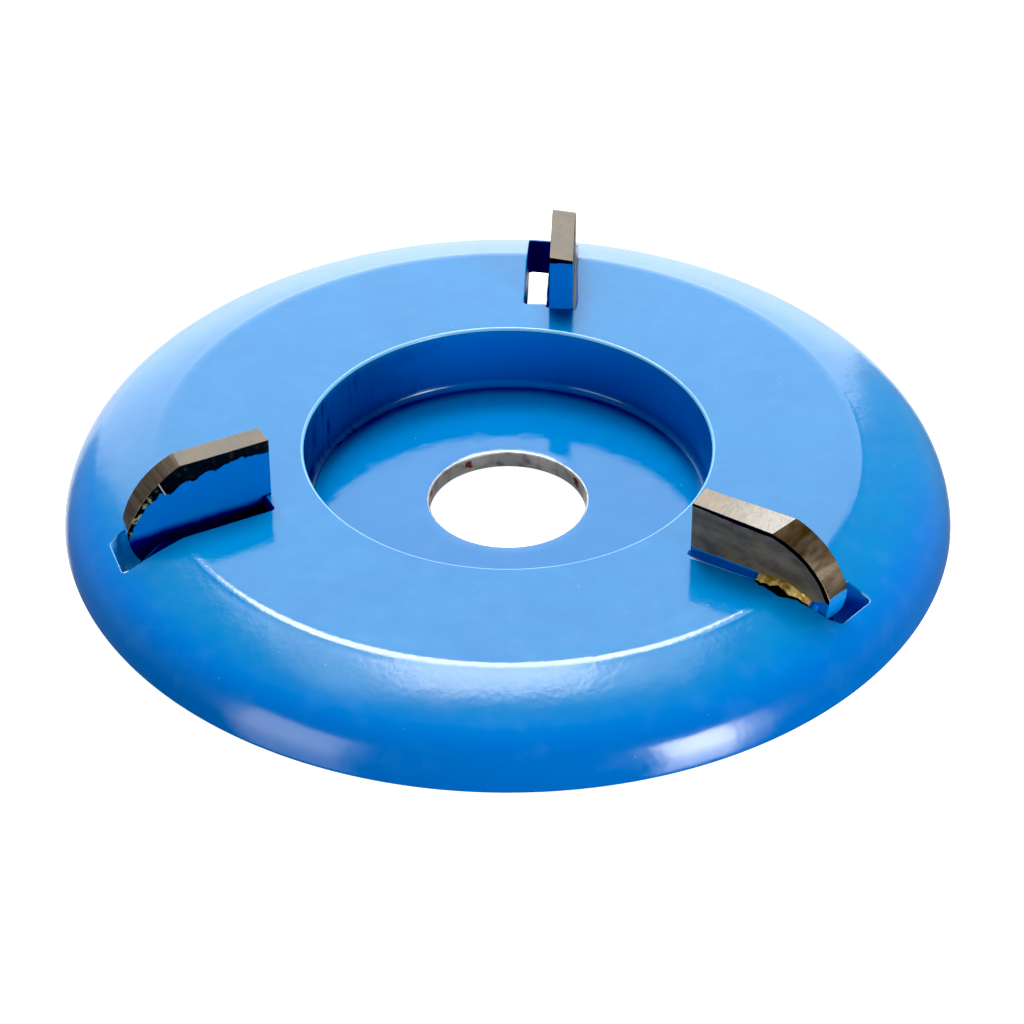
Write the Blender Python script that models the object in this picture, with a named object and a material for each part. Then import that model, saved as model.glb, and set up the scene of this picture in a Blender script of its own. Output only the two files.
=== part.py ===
"""Angle grinder carving disc: a turned steel disc with three cutter plates brazed into it.

Frame: the origin is the centre of the arbor hole on the hub's underside. +Z points along the
grinder's spindle to the side of the clamping nut and the cutters. The first cutter stands on
the +Y side. Seen from +Z the disc turns counter-clockwise, so each cutter's leading face is its
counter-clockwise face. Every length is in metres.

A cutter station has its own axes: X runs outward along the plate, Y runs counter-clockwise
across it, and Z is the disc's own. Its empty turns those axes to the station's azimuth.
"""
import math

import bmesh
import bpy

MM = 0.001

# Disc, seen in half section
DISC_RADIUS = 45.0 * MM
BORE_RADIUS = 8.0 * MM
WEB_TOP = 1.9 * MM
RECESS_RADIUS = 20.6 * MM
FLAT_TOP = 9.0 * MM
CREASE_RADIUS = 35.2 * MM
BEVEL_END_RADIUS = 41.5 * MM
BEVEL_START_SLOPE = math.radians(13.0)
BEVEL_END_SLOPE = math.radians(24.0)
RIM_END_SLOPE = math.radians(84.0)
RING_UNDERSIDE = 2.6 * MM
LIP_UNDERSIDE = 1.8 * MM
LIP_INNER_RADIUS = 42.4 * MM
HUB_RADIUS = 22.6 * MM
HUB_ROOT_RADIUS = 23.6 * MM

# Edge breaks and fillets of the turned disc
BORE_CHAMFER = 0.25 * MM
RECESS_FILLET = 0.5 * MM
RECESS_EDGE_ROUND = 0.15 * MM
RIM_EDGE_ROUND = 0.3 * MM
RIM_EDGE_START = math.radians(-30.0)
HUB_CHAMFER = 0.3 * MM

# Cutter plates
CUTTER_COUNT = 3
FIRST_CUTTER_AZIMUTH = math.radians(90.0)
CUTTER_INNER_END = 24.6 * MM
CUTTER_TOP = 15.5 * MM
CUTTER_LEADING_FACE = -3.42 * MM
CUTTER_THICKNESS = 2.53 * MM
CUTTER_RELIEF = 0.3 * MM
EDGE_ARC_RADIUS = 10.0 * MM
EDGE_ARC_CENTRE = (30.4 * MM, 6.1 * MM)
NOSE_RADIUS = 6.39 * MM
NOSE_CENTRE = (33.5 * MM, 9.25 * MM)

# Slots: a pocket that holds the plate, and a gullet in front of its leading face
SLOT_OUTER_END = 41.4 * MM
POCKET_INNER_END = 24.2 * MM
POCKET_FRONT_GAP = 0.27 * MM
GULLET_INNER_END = 25.5 * MM
GULLET_FRONT_WALL = -0.74 * MM
SLOT_CORNER_ROUND = 0.35 * MM
TOOL_OVERRUN = 1.0 * MM

# Braze: the bead of filler along the plate's trailing face, on top of the disc.
# JOINT_GAP is the clearance between the bead, the plate and the disc, and BEAD_HOLLOW above
# 1 makes the bead's face hollow, as wetting filler leaves it.
JOINT_GAP = 0.15 * MM
BEAD_WIDTH = 1.2 * MM
BEAD_HEIGHT = 0.7 * MM
BEAD_HOLLOW = 1.3
BEAD_INNER_END = 24.9 * MM
BEAD_OUTER_END = 38.6 * MM

# How finely round shapes are divided
TURNED_STEPS = 96
EDGE_BREAK_STEPS = 1
RIM_EDGE_STEPS = 2
FILLET_STEPS = 3
BEVEL_STEPS = 4
RIM_STEPS = 8
EDGE_ARC_STEPS = 10
NOSE_STEPS = 8
BEAD_STEPS = 10
BEAD_ROUND_STEPS = 4
SMOOTH_ANGLE = math.radians(32.0)
MERGE_DISTANCE = 0.00001

CUTTER_TRAILING_FACE = CUTTER_LEADING_FACE - CUTTER_THICKNESS
SLOT_BACK_WALL = CUTTER_TRAILING_FACE - JOINT_GAP


def clear_scene():
    for existing in list(bpy.data.objects):
        bpy.data.objects.remove(existing, do_unlink=True)


def make_material(name, colour, metallic, roughness):
    material = bpy.data.materials.new(name)
    material.use_nodes = True
    shader = material.node_tree.nodes["Principled BSDF"]
    shader.inputs["Base Color"].default_value = (*colour, 1.0)
    shader.inputs["Metallic"].default_value = metallic
    shader.inputs["Roughness"].default_value = roughness
    return material


def place(name, mesh, material, parent=None):
    item = bpy.data.objects.new(name, mesh)
    item.parent = parent
    bpy.context.scene.collection.objects.link(item)
    if material is not None and not mesh.materials:
        mesh.materials.append(material)
    return item


def shade_round(mesh):
    mesh.shade_smooth()
    mesh.set_sharp_from_angle(angle=SMOOTH_ANGLE)


def arc(centre, radius, start, end, steps):
    """Points on a circle from the start angle to the end angle, both included."""
    points = []
    for step in range(steps + 1):
        angle = start + (end - start) * step / steps
        points.append((centre[0] + radius * math.cos(angle), centre[1] + radius * math.sin(angle)))
    return points


def slope_arc(start, radius, start_slope, end_slope, steps):
    """A convex arc that goes on from the start point and steepens from one slope to the other."""
    points = []
    for step in range(1, steps + 1):
        slope = start_slope + (end_slope - start_slope) * step / steps
        out = radius * (math.sin(slope) - math.sin(start_slope))
        down = radius * (math.cos(start_slope) - math.cos(slope))
        points.append((start[0] + out, start[1] - down))
    return points


def bevel_arc_radius():
    rise = math.sin(BEVEL_END_SLOPE) - math.sin(BEVEL_START_SLOPE)
    return (BEVEL_END_RADIUS - CREASE_RADIUS) / rise


def rim_arc_radius():
    rise = math.sin(RIM_END_SLOPE) - math.sin(BEVEL_END_SLOPE)
    return (DISC_RADIUS - BEVEL_END_RADIUS) / rise


def top_height(radius):
    """Height of the disc's top surface, from the flat out to the end of the bevel."""
    if radius <= CREASE_RADIUS:
        return FLAT_TOP
    bevel_radius = bevel_arc_radius()
    sine = math.sin(BEVEL_START_SLOPE) + (radius - CREASE_RADIUS) / bevel_radius
    return FLAT_TOP - bevel_radius * (math.cos(BEVEL_START_SLOPE) - math.sqrt(1.0 - sine * sine))


def disc_profile():
    """Half section of the disc as (radius, height), from the bore over the top and back."""
    points = [(BORE_RADIUS, WEB_TOP - BORE_CHAMFER), (BORE_RADIUS + BORE_CHAMFER, WEB_TOP)]

    fillet_centre = (RECESS_RADIUS - RECESS_FILLET, WEB_TOP + RECESS_FILLET)
    points += arc(fillet_centre, RECESS_FILLET, math.radians(-90), 0.0, FILLET_STEPS)
    edge_centre = (RECESS_RADIUS + RECESS_EDGE_ROUND, FLAT_TOP - RECESS_EDGE_ROUND)
    start, end = math.radians(180), math.radians(90)
    points += arc(edge_centre, RECESS_EDGE_ROUND, start, end, EDGE_BREAK_STEPS)

    crease = (CREASE_RADIUS, FLAT_TOP)
    bevel = slope_arc(crease, bevel_arc_radius(), BEVEL_START_SLOPE, BEVEL_END_SLOPE, BEVEL_STEPS)
    rim = slope_arc(bevel[-1], rim_arc_radius(), BEVEL_END_SLOPE, RIM_END_SLOPE, RIM_STEPS)
    points += [crease] + bevel + rim

    rim_edge_centre = (DISC_RADIUS - RIM_EDGE_ROUND, LIP_UNDERSIDE + RIM_EDGE_ROUND)
    points += arc(rim_edge_centre, RIM_EDGE_ROUND, RIM_EDGE_START, math.radians(-90), RIM_EDGE_STEPS)
    points += [(LIP_INNER_RADIUS, RING_UNDERSIDE), (HUB_ROOT_RADIUS, RING_UNDERSIDE)]
    points += [(HUB_RADIUS, HUB_CHAMFER), (HUB_RADIUS - HUB_CHAMFER, 0.0)]
    points += [(BORE_RADIUS + BORE_CHAMFER, 0.0), (BORE_RADIUS, BORE_CHAMFER)]
    return points


def turned_mesh(name, profile):
    """The closed outline of a half section, for a Screw modifier to turn about Z."""
    mesh = bpy.data.meshes.new(name)
    corners = [(radius, 0.0, height) for radius, height in profile]
    edges = [(index, (index + 1) % len(corners)) for index in range(len(corners))]
    mesh.from_pydata(corners, edges, [])
    return mesh


def loft_mesh(name, loops):
    """A closed solid through loops of equally many points, capped at both ends."""
    mesh = bpy.data.meshes.new(name)
    solid = bmesh.new()
    rings = [[solid.verts.new(point) for point in loop] for loop in loops]
    for lower, upper in zip(rings, rings[1:]):
        for index in range(len(lower)):
            following = (index + 1) % len(lower)
            solid.faces.new((lower[index], lower[following], upper[following], upper[index]))
    solid.faces.new(rings[0])
    solid.faces.new(rings[-1])
    bmesh.ops.recalc_face_normals(solid, faces=solid.faces)
    solid.to_mesh(mesh)
    solid.free()
    return mesh


def slot_outline():
    """Plan of one slot: the plate's pocket, and the wider gullet that stops short of its end."""
    pocket_front = CUTTER_LEADING_FACE + POCKET_FRONT_GAP
    back_corner = (SLOT_OUTER_END - SLOT_CORNER_ROUND, SLOT_BACK_WALL + SLOT_CORNER_ROUND)
    front_corner = (SLOT_OUTER_END - SLOT_CORNER_ROUND, GULLET_FRONT_WALL - SLOT_CORNER_ROUND)
    outline = [(POCKET_INNER_END, SLOT_BACK_WALL)]
    outline += arc(back_corner, SLOT_CORNER_ROUND, math.radians(-90), 0.0, FILLET_STEPS)
    outline += arc(front_corner, SLOT_CORNER_ROUND, 0.0, math.radians(90), FILLET_STEPS)
    outline += [(GULLET_INNER_END, GULLET_FRONT_WALL), (GULLET_INNER_END, pocket_front)]
    outline += [(POCKET_INNER_END, pocket_front)]
    return outline


def slot_tool_mesh():
    """The space of one slot, past both faces of the disc."""
    below = -TOOL_OVERRUN
    above = FLAT_TOP + TOOL_OVERRUN
    outline = slot_outline()
    return loft_mesh("slot_tool", [[(x, y, height) for x, y in outline] for height in (below, above)])


def cutter_outline(relief):
    """Side view of a cutter plate, drawn in by the relief that clears the edge behind it.

    A straight top meets an arc of the edge's large radius, and a tighter nose runs on from the
    arc's end down to the plate's flat root.
    """
    top = CUTTER_TOP - relief
    edge_radius = EDGE_ARC_RADIUS - relief
    nose_radius = NOSE_RADIUS - relief
    arc_start = math.asin((top - EDGE_ARC_CENTRE[1]) / edge_radius)
    arc_end = math.asin((NOSE_CENTRE[1] - EDGE_ARC_CENTRE[1]) / edge_radius)
    root = NOSE_CENTRE[1] - nose_radius
    outline = [(CUTTER_INNER_END, root), (CUTTER_INNER_END, top)]
    outline += arc(EDGE_ARC_CENTRE, edge_radius, arc_start, arc_end, EDGE_ARC_STEPS)[:-1]
    outline += arc(NOSE_CENTRE, nose_radius, 0.0, math.radians(-90), NOSE_STEPS)
    return outline


def cutter_mesh():
    leading = [(x, CUTTER_LEADING_FACE, z) for x, z in cutter_outline(0.0)]
    trailing = [(x, CUTTER_TRAILING_FACE, z) for x, z in cutter_outline(CUTTER_RELIEF)]
    return loft_mesh("cutter_plate", [leading, trailing])


def bead_section(x):
    """Section of the braze bead across the plate, standing on the disc's top surface."""
    inner_side = SLOT_BACK_WALL
    section = [(x, inner_side, top_height(math.hypot(x, inner_side)) + JOINT_GAP)]
    for step in range(BEAD_ROUND_STEPS + 1):
        angle = math.radians(90) * step / BEAD_ROUND_STEPS
        y = inner_side - BEAD_WIDTH * math.sin(angle)
        surface = top_height(math.hypot(x, y)) + JOINT_GAP
        section.append((x, y, surface + BEAD_HEIGHT * math.cos(angle) ** BEAD_HOLLOW))
    return section


def bead_mesh():
    step_length = (BEAD_OUTER_END - BEAD_INNER_END) / BEAD_STEPS
    stations = [BEAD_INNER_END + step * step_length for step in range(BEAD_STEPS + 1)]
    return loft_mesh("braze_bead", [bead_section(x) for x in stations])


def build_disc(paint):
    disc = place("disc_body", turned_mesh("disc_body", disc_profile()), paint)
    turning = disc.modifiers.new("turning", "SCREW")
    turning.axis = "Z"
    turning.steps = TURNED_STEPS
    turning.render_steps = TURNED_STEPS
    turning.use_merge_vertices = True
    turning.merge_threshold = MERGE_DISTANCE
    turning.use_smooth_shade = True
    return disc


def cut_slot(disc, tool):
    tool.hide_render = True
    tool.display_type = "WIRE"
    cut = disc.modifiers.new(tool.name, "BOOLEAN")
    cut.operation = "DIFFERENCE"
    cut.solver = "EXACT"
    cut.object = tool


def settle_shape(item):
    """Keeps the evaluated shape as the object's own mesh, so that it can be shaded by angle."""
    depsgraph = bpy.context.evaluated_depsgraph_get()
    shaped = bpy.data.meshes.new_from_object(item.evaluated_get(depsgraph))
    item.modifiers.clear()
    item.data = shaped
    shade_round(shaped)


def main():
    clear_scene()
    paint = make_material("blue_enamel", (0.004, 0.17, 0.62), 0.0, 0.16)
    cutter_steel = make_material("ground_tool_steel", (0.42, 0.40, 0.37), 1.0, 0.32)
    filler = make_material("brass_filler", (0.62, 0.44, 0.16), 1.0, 0.38)

    disc = build_disc(paint)
    slot_tool = slot_tool_mesh()
    plate = cutter_mesh()
    shade_round(plate)
    bead = bead_mesh()
    shade_round(bead)

    for index in range(CUTTER_COUNT):
        number = index + 1
        station = bpy.data.objects.new(f"cutter_station_{number}", None)
        station.rotation_euler.z = FIRST_CUTTER_AZIMUTH + index * 2.0 * math.pi / CUTTER_COUNT
        bpy.context.scene.collection.objects.link(station)
        cut_slot(disc, place(f"slot_tool_{number}", slot_tool, None, station))
        place(f"cutter_{number}", plate, cutter_steel, station)
        place(f"braze_bead_{number}", bead, filler, station)
    settle_shape(disc)


main()
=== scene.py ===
"""Looks of the angle grinder carving disc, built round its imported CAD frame.

Lengths are in metres, written as multiples of MM. A cutter station has the CAD's own axes: X runs
outward along the plate, Y runs counter-clockwise across it, and Z is the disc's. Materials read
their own object's coordinates in millimetres.
"""
import math
from functools import cached_property, partialmethod

import bmesh
import bpy
from mathutils import Matrix, Vector, noise


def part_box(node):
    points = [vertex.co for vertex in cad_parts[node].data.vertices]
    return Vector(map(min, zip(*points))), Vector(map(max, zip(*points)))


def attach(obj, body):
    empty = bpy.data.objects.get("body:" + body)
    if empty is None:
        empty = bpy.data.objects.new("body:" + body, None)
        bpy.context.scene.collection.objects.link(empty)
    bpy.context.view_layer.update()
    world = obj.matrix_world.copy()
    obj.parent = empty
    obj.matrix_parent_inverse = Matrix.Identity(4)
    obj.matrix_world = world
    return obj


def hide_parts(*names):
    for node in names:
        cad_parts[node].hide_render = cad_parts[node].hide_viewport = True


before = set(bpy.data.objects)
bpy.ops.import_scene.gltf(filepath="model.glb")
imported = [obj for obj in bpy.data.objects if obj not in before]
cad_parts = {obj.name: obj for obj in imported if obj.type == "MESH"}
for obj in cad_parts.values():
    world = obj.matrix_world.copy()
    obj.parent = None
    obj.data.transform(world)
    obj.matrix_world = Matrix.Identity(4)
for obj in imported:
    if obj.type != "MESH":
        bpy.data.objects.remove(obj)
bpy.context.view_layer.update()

MM = 0.001

# Sizes read from the frame. The first cutter stands on +Y, so its thickness lies along X.
disc_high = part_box("disc_body")[1]
cutter_low, cutter_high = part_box("cutter_1")
bead_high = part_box("braze_bead_1")[1]
DISC_RADIUS = disc_high.x
FLAT_TOP = disc_high.z
CUTTER_TOP = cutter_high.z
CUTTER_INNER_END = cutter_low.y
CUTTER_LEADING_FACE = -cutter_low.x
CUTTER_TRAILING_FACE = -cutter_high.x
BEAD_OUTER_END = bead_high.y

# Half section of the disc, as in the CAD
BORE_RADIUS = 8.0 * MM
WEB_TOP = 1.9 * MM
RECESS_RADIUS = 20.6 * MM
CREASE_RADIUS = 35.2 * MM
BEVEL_END_RADIUS = 41.5 * MM
BEVEL_START_SLOPE = math.radians(13.0)
BEVEL_END_SLOPE = math.radians(24.0)
RIM_END_SLOPE = math.radians(84.0)
RING_UNDERSIDE = 2.6 * MM
LIP_UNDERSIDE = 1.8 * MM
LIP_INNER_RADIUS = 42.4 * MM
HUB_RADIUS = 22.6 * MM
HUB_ROOT_RADIUS = 23.6 * MM

# Rounds that only the finished surface has
BORE_EDGE_ROUND = 0.22 * MM
RECESS_FILLET = 0.7 * MM
RECESS_EDGE_ROUND = 0.28 * MM
CREASE_ROUND = 4.5 * MM
HUB_EDGE_ROUND = 0.3 * MM
SLOT_EDGE_ROUND = 0.2 * MM
PLATE_EDGE_ROUND = 0.06 * MM

# Slots, close to the CAD's. They narrow at their outer back corner, and end under the plates.
SLOT_OUTER_FRONT = 41.65 * MM
SLOT_OUTER_BACK = 41.0 * MM
SLOT_NARROWS_FROM = 39.7 * MM
SLOT_NARROWING = 0.6 * MM
SLOT_BACK_WALL = CUTTER_TRAILING_FACE - 0.15 * MM
POCKET_INNER_END = CUTTER_INNER_END + SLOT_EDGE_ROUND + 0.05 * MM
POCKET_FRONT_WALL = CUTTER_LEADING_FACE + 0.27 * MM
GULLET_INNER_END = 25.5 * MM
GULLET_FRONT_WALL = -0.74 * MM
SLOT_CORNER_ROUNDS = (0.35 * MM, 0.5 * MM, 0.4 * MM, 0.4 * MM, 0.35 * MM, 0.25 * MM, 0.25 * MM)
REFLEX_CORNER = 5
SLOT_SIDE_POINTS = (20, 3, 6, 20, 3, 2, 3)
SLOT_FLARE_ANGLES = (18, 36, 54, 70)
TOOL_OVERRUN = 1.0 * MM

# Cutter plates. Each was ground by hand, so the edges of its two faces differ: the height at the
# inner end, the height where the arc begins, the arc's centre (out and up), and its radius.
STATION_COUNT = 3
FIRST_AZIMUTH = math.radians(90.0)
NOSE_RADIUS = 6.39 * MM
NOSE_CENTRE = (33.5 * MM, 9.25 * MM)
LEADING_EDGES = (
    (15.42 * MM, 15.42 * MM, 30.4 * MM, 6.1 * MM, 10.0 * MM),
    (15.33 * MM, 15.36 * MM, 29.4 * MM, 4.9 * MM, 11.43 * MM),
    (15.15 * MM, 15.48 * MM, 32.0 * MM, 7.3 * MM, 8.55 * MM),
)
TRAILING_EDGES = (
    (15.0 * MM, 15.0 * MM, 30.4 * MM, 6.1 * MM, 9.7 * MM),
    (15.22 * MM, 15.25 * MM, 31.4 * MM, 7.34 * MM, 8.23 * MM),
    (14.88 * MM, 14.72 * MM, 31.5 * MM, 6.05 * MM, 8.85 * MM),
)

# How high the paint covers the plates' feet, in millimetres: at the inner end, and at the nose
FOOT_PAINT_LEVEL = 9.45
NOSE_PAINT_LEVEL = 8.2

# How finely shapes are divided
TURNED_STEPS = 288
FILLET_STEPS = 8
CREASE_STEPS = 8
BEVEL_STEPS = 12
RIM_STEPS = 40
FLAT_SPACING = 1.2 * MM
EDGE_ARC_STEPS = 28
NOSE_STEPS = 16
SHARP_ANGLE = math.radians(34.0)
PLATE_SHARP_ANGLE = math.radians(18.0)
ROUNDED_ANGLE = math.radians(40.0)
BEAD_SHARP_ANGLE = math.radians(50.0)
NORMAL_WEIGHT = 80

# Camera, as solved from the photo's ellipses and edges
CAMERA_DISTANCE = 341.03 * MM
CAMERA_ELEVATION = 0.6455
CAMERA_TURN = math.radians(2.34)
CAMERA_AIM = (0.42 * MM, 0.26 * MM, 0.0)
CAMERA_LENS = 116.97
SENSOR_WIDTH = 36.0


# ---- Mesh helpers

def arc(centre, radius, start, end, steps):
    """Points on a circle from the start angle to the end angle, both included."""
    points = []
    for step in range(steps + 1):
        angle = start + (end - start) * step / steps
        points.append((centre[0] + radius * math.cos(angle), centre[1] + radius * math.sin(angle)))
    return points


def slope_arc(start, radius, start_slope, end_slope, steps):
    """A convex arc that goes on from the start point and steepens from one slope to the other."""
    centre = (start[0] - radius * math.sin(start_slope), start[1] - radius * math.cos(start_slope))
    return arc(centre, radius, math.pi / 2 - start_slope, math.pi / 2 - end_slope, steps)[1:]


def divided(start, end, count):
    """Points that divide a line into equal parts, without its start."""
    points = []
    for step in range(1, count + 1):
        share = step / count
        points.append(tuple(a + (b - a) * share for a, b in zip(start, end)))
    return points


def straight(start, end):
    """Points about FLAT_SPACING apart after the start, up to and including the end."""
    return divided(start, end, max(1, round(math.dist(start, end) / FLAT_SPACING)))


def add_object(name, data):
    item = bpy.data.objects.new(name, data)
    bpy.context.scene.collection.objects.link(item)
    return item


def add_piece(name, mesh, materials, node=None):
    piece = add_object(name, mesh)
    for material in materials:
        mesh.materials.append(material)
    if node is not None:
        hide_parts(node)
    return piece


def smooth_by_angle(mesh, angle):
    mesh.shade_smooth()
    mesh.set_sharp_from_angle(angle=angle)


def keep_flat_normals(piece):
    weights = piece.modifiers.new("weighted_normals", "WEIGHTED_NORMAL")
    weights.keep_sharp = True
    weights.weight = NORMAL_WEIGHT


def mesh_of(name, solid):
    """Turns an edited solid into a mesh whose normals point outward."""
    mesh = bpy.data.meshes.new(name)
    bmesh.ops.recalc_face_normals(solid, faces=solid.faces)
    solid.to_mesh(mesh)
    solid.free()
    return mesh


def loft_mesh(name, loops, zones=None):
    """A closed solid through loops of equally many points. Each band between two loops has a
    zone, which is its material's index."""
    solid = bmesh.new()
    rings = [[solid.verts.new(point) for point in loop] for loop in loops]
    for band, (lower, upper) in enumerate(zip(rings, rings[1:])):
        for index in range(len(lower)):
            following = (index + 1) % len(lower)
            face = solid.faces.new((lower[index], lower[following], upper[following], upper[index]))
            face.material_index = zones[band] if zones else 0
    solid.faces.new(rings[0])
    solid.faces.new(rings[-1])
    return mesh_of(name, solid)


# ---- Disc shape

# Material zones of the disc
ENAMEL, THIN_EDGE, BARE_STEEL, SLOT_WALL, RECESS_WALL = range(5)


def bevel_arc_radius():
    rise = math.sin(BEVEL_END_SLOPE) - math.sin(BEVEL_START_SLOPE)
    return (BEVEL_END_RADIUS - CREASE_RADIUS) / rise


def rim_arc_radius():
    rise = math.sin(RIM_END_SLOPE) - math.sin(BEVEL_END_SLOPE)
    return (DISC_RADIUS - BEVEL_END_RADIUS) / rise


def fall(radius, arc_radius, start_radius, start_slope):
    """How far an arc has dropped since the radius where it has its start slope."""
    sine = math.sin(start_slope) + (radius - start_radius) / arc_radius
    return arc_radius * (math.cos(start_slope) - math.sqrt(max(0.0, 1.0 - sine * sine)))


def top_height(radius):
    """Height of the disc's top surface outside the recess."""
    if radius <= CREASE_RADIUS:
        return FLAT_TOP
    if radius <= BEVEL_END_RADIUS:
        return FLAT_TOP - fall(radius, bevel_arc_radius(), CREASE_RADIUS, BEVEL_START_SLOPE)
    bevel_drop = fall(BEVEL_END_RADIUS, bevel_arc_radius(), CREASE_RADIUS, BEVEL_START_SLOPE)
    rim_drop = fall(radius, rim_arc_radius(), BEVEL_END_RADIUS, BEVEL_END_SLOPE)
    return FLAT_TOP - bevel_drop - rim_drop


def disc_profile():
    """Half section as (points, zones), with the zone of the stretch that follows each point."""
    bore_wall = [(BORE_RADIUS, BORE_EDGE_ROUND), (BORE_RADIUS, WEB_TOP - BORE_EDGE_ROUND)]
    bore_edge = (BORE_RADIUS + BORE_EDGE_ROUND, WEB_TOP - BORE_EDGE_ROUND)
    points = bore_wall + arc(bore_edge, BORE_EDGE_ROUND, math.pi, math.pi / 2, 3)[1:]
    bare_end = len(points) - 1

    fillet_centre = (RECESS_RADIUS - RECESS_FILLET, WEB_TOP + RECESS_FILLET)
    fillet = arc(fillet_centre, RECESS_FILLET, -math.pi / 2, 0.0, FILLET_STEPS)
    points += straight(points[-1], fillet[0])
    wall_start = len(points) - 1
    points += fillet[1:]
    edge_centre = (RECESS_RADIUS + RECESS_EDGE_ROUND, FLAT_TOP - RECESS_EDGE_ROUND)
    edge = arc(edge_centre, RECESS_EDGE_ROUND, math.pi, math.pi / 2, FILLET_STEPS)
    points += straight(points[-1], edge[0])
    wall_end = len(points) - 1
    points += edge[1:]
    edge_end = len(points) - 1

    tangent = CREASE_ROUND * math.tan(BEVEL_START_SLOPE / 2)
    crease_start = (CREASE_RADIUS - tangent, FLAT_TOP)
    points += straight(points[-1], crease_start)
    points += slope_arc(crease_start, CREASE_ROUND, 0.0, BEVEL_START_SLOPE, CREASE_STEPS)
    bevel_radius = bevel_arc_radius()
    crease = (CREASE_RADIUS, FLAT_TOP)
    bevel = slope_arc(crease, bevel_radius, BEVEL_START_SLOPE, BEVEL_END_SLOPE, BEVEL_STEPS)
    points += bevel
    rim = slope_arc(bevel[-1], rim_arc_radius(), BEVEL_END_SLOPE, RIM_END_SLOPE, RIM_STEPS)
    points += rim

    lip_round = rim[-1][1] - LIP_UNDERSIDE
    lip_centre = (DISC_RADIUS - lip_round, LIP_UNDERSIDE + lip_round)
    points += arc(lip_centre, lip_round, 0.0, -math.pi / 2, FILLET_STEPS)[1:]
    points += straight(points[-1], (LIP_INNER_RADIUS, RING_UNDERSIDE))
    points += straight(points[-1], (HUB_ROOT_RADIUS, RING_UNDERSIDE))
    hub_centre = (HUB_RADIUS - HUB_EDGE_ROUND, HUB_EDGE_ROUND)
    points += arc(hub_centre, HUB_EDGE_ROUND, 0.0, -math.pi / 2, FILLET_STEPS)
    points += straight(points[-1], (BORE_RADIUS + BORE_EDGE_ROUND, 0.0))

    zones = [ENAMEL] * len(points)
    zones[:bare_end] = [BARE_STEEL] * bare_end
    zones[-1] = BARE_STEEL
    zones[wall_start:wall_end] = [RECESS_WALL] * (wall_end - wall_start)
    zones[wall_end:edge_end] = [THIN_EDGE] * (edge_end - wall_end)
    return points, zones


def turned_mesh(name, points, zones):
    """Turns a closed half section about Z."""
    solid = bmesh.new()
    rings = []
    for step in range(TURNED_STEPS):
        angle = 2.0 * math.pi * step / TURNED_STEPS
        cosine, sine = math.cos(angle), math.sin(angle)
        rings.append([solid.verts.new((r * cosine, r * sine, z)) for r, z in points])
    for step, ring in enumerate(rings):
        next_ring = rings[(step + 1) % TURNED_STEPS]
        for index in range(len(points)):
            following = (index + 1) % len(points)
            face = solid.faces.new((ring[index], ring[following], next_ring[following], next_ring[index]))
            face.material_index = zones[index]
    return mesh_of(name, solid)


def side_normals(corners):
    """Outward unit normal of each side of a counter-clockwise outline."""
    normals = []
    for start, end in zip(corners, corners[1:] + corners[:1]):
        length = math.dist(start, end)
        normals.append(((end[1] - start[1]) / length, (start[0] - end[0]) / length))
    return normals


def grown_corners(corners, grow):
    """Corners of the outline whose sides all lie further out by the same distance."""
    normals = side_normals(corners)
    grown = []
    for index, corner in enumerate(corners):
        before, after = normals[index - 1], normals[index]
        share = grow / (1.0 + before[0] * after[0] + before[1] * after[1])
        grown.append((corner[0] + share * (before[0] + after[0]), corner[1] + share * (before[1] + after[1])))
    return grown


def rounded_outline(corners, rounds, side_points):
    """Rounds each corner, and divides each side, which starts at the corner of its number."""
    normals = side_normals(corners)
    bends = []
    for index, corner in enumerate(corners):
        before, after = normals[index - 1], normals[index]
        aligned = before[0] * after[0] + before[1] * after[1]
        turn = math.atan2(before[0] * after[1] - before[1] * after[0], aligned)
        inward = rounds[index] * math.copysign(1.0, turn) / (1.0 + aligned)
        centre = (corner[0] - inward * (before[0] + after[0]), corner[1] - inward * (before[1] + after[1]))
        start_angle = math.atan2(before[1], before[0])
        if turn < 0.0:
            start_angle += math.pi
        bends.append(arc(centre, rounds[index], start_angle, start_angle + turn, FILLET_STEPS))
    outline = []
    for bend, following, parts in zip(bends, bends[1:] + bends[:1], side_points):
        outline += bend + divided(bend[-1], following[0], parts)[:-1]
    return outline


def slot_outline(grow):
    """Plan of one slot, grown outward by a distance on every side."""
    corners = [
        (POCKET_INNER_END, SLOT_BACK_WALL),
        (SLOT_NARROWS_FROM, SLOT_BACK_WALL),
        (SLOT_OUTER_BACK, SLOT_BACK_WALL + SLOT_NARROWING),
        (SLOT_OUTER_FRONT, GULLET_FRONT_WALL),
        (GULLET_INNER_END, GULLET_FRONT_WALL),
        (GULLET_INNER_END, POCKET_FRONT_WALL),
        (POCKET_INNER_END, POCKET_FRONT_WALL),
    ]
    rounds = [radius + grow for radius in SLOT_CORNER_ROUNDS]
    rounds[REFLEX_CORNER] = SLOT_CORNER_ROUNDS[REFLEX_CORNER] - grow
    return rounded_outline(grown_corners(corners, grow), rounds, SLOT_SIDE_POINTS)


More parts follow.
